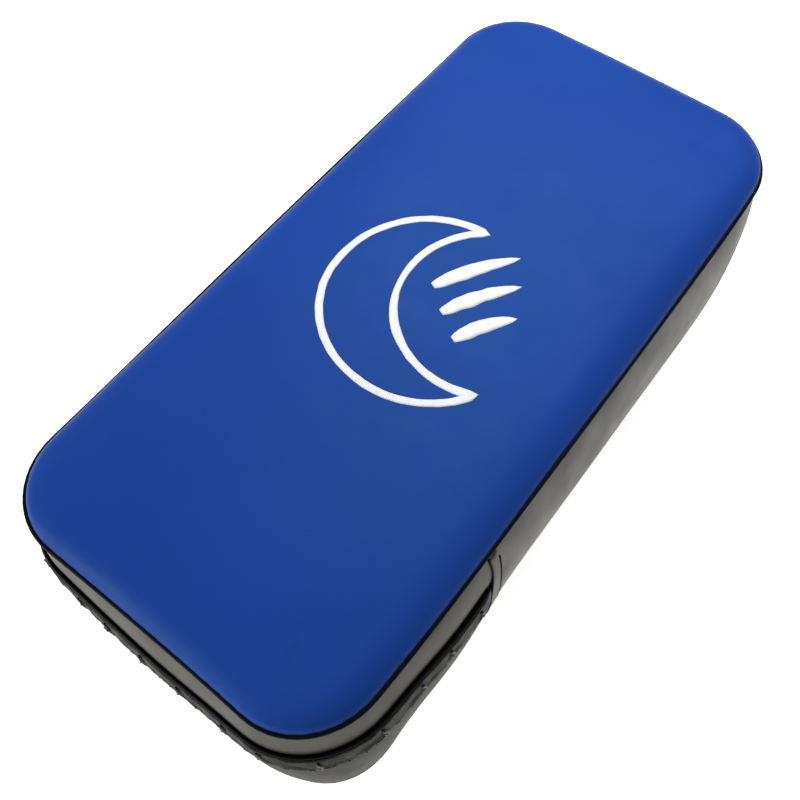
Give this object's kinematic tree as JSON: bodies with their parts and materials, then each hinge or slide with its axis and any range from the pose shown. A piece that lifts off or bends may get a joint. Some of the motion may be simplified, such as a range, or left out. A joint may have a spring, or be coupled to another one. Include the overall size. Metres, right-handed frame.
{
  "type": "kick pad",
  "caption": "Rectangular padded kick pad with a laced cover, two hook-and-loop forearm straps and a padded hand grip on its back.",
  "frame": {"origin": "centre of the bounding box at the height of the surface that the closed straps rest on", "axes": "+Z out of the striking face, +Y along the pad towards the hand grip end, +X across the pad"},
  "size_m": [0.1904, 0.3797, 0.1363],
  "materials": {
    "blue_cover": "semi-matt coated fabric, fine grain",
    "black_cover": "satin coated fabric, fine grain",
    "gloss_trim": "glossy coated fabric, folded",
    "piping": "satin piping",
    "lace_cord": "waxed braided cord",
    "white_print": "matt screen print",
    "webbing": "coated woven strap",
    "hook_tape": "hook tape",
    "loop_tape": "loop tape",
    "firm_foam": "closed-cell sheet foam",
    "soft_foam": "open-cell foam"
  },
  "bodies": {
    "root": {"face_panel": "blue_cover", "face_emblem": "white_print", "face_piping": "piping", "gusset_main": "black_cover", "gusset_end_upper": "black_cover", "gusset_end_lower": "black_cover", "closure_hem": "gloss_trim", "closure_lace": "lace_cord", "closure_tab_left": "black_cover", "closure_tab_right": "black_cover", "back_piping": "piping", "back_panel": "black_cover", "foam_face_layer": "firm_foam", "foam_core": "soft_foam", "foam_back_layer": "firm_foam", "handle_patch_left": "black_cover", "handle_patch_right": "black_cover", "upper_anchor_left": "black_cover", "upper_anchor_right": "black_cover", "lower_anchor_left": "black_cover", "lower_anchor_right": "black_cover"},
    "grip": {"handle_web_left": "webbing", "handle_web_right": "webbing", "handle_core": "soft_foam", "handle_grip": "black_cover"},
    "upper_riser": {"upper_strap_riser": "webbing"},
    "upper_tongue": {"upper_strap_tongue": "webbing", "upper_hook_patch": "hook_tape"},
    "upper_stub": {"upper_strap_stub": "webbing", "upper_loop_patch": "loop_tape"},
    "lower_riser": {"lower_strap_riser": "webbing"},
    "lower_tongue": {"lower_strap_tongue": "webbing", "lower_hook_patch": "hook_tape"},
    "lower_stub": {"lower_strap_stub": "webbing", "lower_loop_patch": "loop_tape"}
  },
  "joints": [
    {"name": "upper_strap_open", "type": "hinge", "parent": "root", "child": "upper_riser", "pos_m": [-0.08672, 0.035, 0.0538], "axis": [0, 1, 0], "range_deg": [0, 95]},
    {"name": "upper_strap_unroll", "type": "hinge", "parent": "upper_riser", "child": "upper_tongue", "pos_m": [-0.056, 0.035, 0.0015], "axis": [0, 1, 0], "range_deg": [0, 68]},
    {"name": "upper_stub_relax", "type": "hinge", "parent": "root", "child": "upper_stub", "pos_m": [0.08672, 0.035, 0.0538], "axis": [0, -1, 0], "range_deg": [0, 34]},
    {"name": "lower_strap_open", "type": "hinge", "parent": "root", "child": "lower_riser", "pos_m": [-0.08672, -0.095, 0.0538], "axis": [0, 1, 0], "range_deg": [0, 95]},
    {"name": "lower_strap_unroll", "type": "hinge", "parent": "lower_riser", "child": "lower_tongue", "pos_m": [-0.056, -0.095, 0.0015], "axis": [0, 1, 0], "range_deg": [0, 68]},
    {"name": "lower_stub_relax", "type": "hinge", "parent": "root", "child": "lower_stub", "pos_m": [0.08672, -0.095, 0.0538], "axis": [0, -1, 0], "range_deg": [0, 34]},
    {"name": "handle_swing", "type": "hinge", "parent": "root", "child": "grip", "pos_m": [0, 0.12, 0.043], "axis": [1, 0, 0], "range_deg": [-35, 35]}
  ],
  "couplings": [
    {"joint": "upper_strap_unroll", "follows": "upper_strap_open", "ratio": 0.7155},
    {"joint": "upper_stub_relax", "follows": "upper_strap_open", "ratio": 0.35},
    {"joint": "lower_strap_unroll", "follows": "lower_strap_open", "ratio": 0.7155},
    {"joint": "lower_stub_relax", "follows": "lower_strap_open", "ratio": 0.35}
  ]
}
